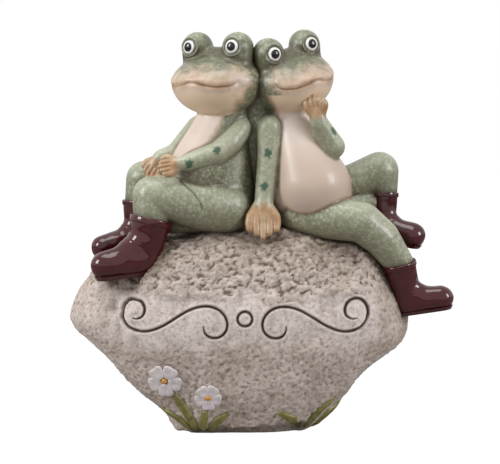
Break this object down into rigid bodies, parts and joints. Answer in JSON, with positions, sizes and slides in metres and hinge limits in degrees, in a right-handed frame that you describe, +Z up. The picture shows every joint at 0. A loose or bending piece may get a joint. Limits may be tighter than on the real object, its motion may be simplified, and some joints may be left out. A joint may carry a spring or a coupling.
{
  "type": "frog figurine",
  "caption": "Glazed earthenware garden ornament: frogs in rubber boots sitting back to back on a hollow upright rock with flowers and a carved scroll.",
  "frame": {"origin": "centre of the pour hole, in the plane of the foot that the figurine stands on", "axes": "+Z up, +X to the right as the figurine is seen from the front, +Y to its back; the frogs' near limbs face -Y"},
  "size_m": [0.2677, 0.1024, 0.282],
  "materials": {
    "stone_bisque": "matt beige-grey stoneware colour with a brown wash in its pits",
    "sage_glaze": "glossy sage-green mottled glaze, with cream bellies and peach mouths and hands",
    "maroon_glaze": "very glossy dark maroon glaze",
    "white_glaze": "glossy white glaze",
    "black_glaze": "glossy black glaze",
    "orange_glaze": "glossy orange glaze",
    "olive_glaze": "satin olive-green glaze"
  },
  "bodies": {
    "root": {"rock": "stone_bisque", "left_frog_body": "sage_glaze", "left_frog_head": "sage_glaze", "left_frog_near_leg": "sage_glaze", "left_frog_far_leg": "sage_glaze", "left_frog_near_arm": "sage_glaze", "left_frog_far_arm": "sage_glaze", "right_frog_body": "sage_glaze", "right_frog_head": "sage_glaze", "right_frog_near_leg": "sage_glaze", "right_frog_far_leg": "sage_glaze", "right_frog_near_arm": "sage_glaze", "right_frog_far_arm": "sage_glaze", "left_frog_near_boot": "maroon_glaze", "left_frog_far_boot": "maroon_glaze", "right_frog_near_boot": "maroon_glaze", "right_frog_far_boot": "maroon_glaze", "left_frog_eye_whites": "white_glaze", "right_frog_eye_whites": "white_glaze", "large_flower_petals": "white_glaze", "small_flower_petals": "white_glaze", "left_frog_pupils": "black_glaze", "right_frog_pupils": "black_glaze", "large_flower_button": "orange_glaze", "small_flower_button": "orange_glaze", "large_flower_stem": "olive_glaze", "small_flower_stem": "olive_glaze", "left_leaf": "olive_glaze", "middle_leaf": "olive_glaze", "right_leaf_low": "olive_glaze", "right_leaf_tall": "olive_glaze", "right_leaf_side": "olive_glaze"}
  },
  "joints": []
}
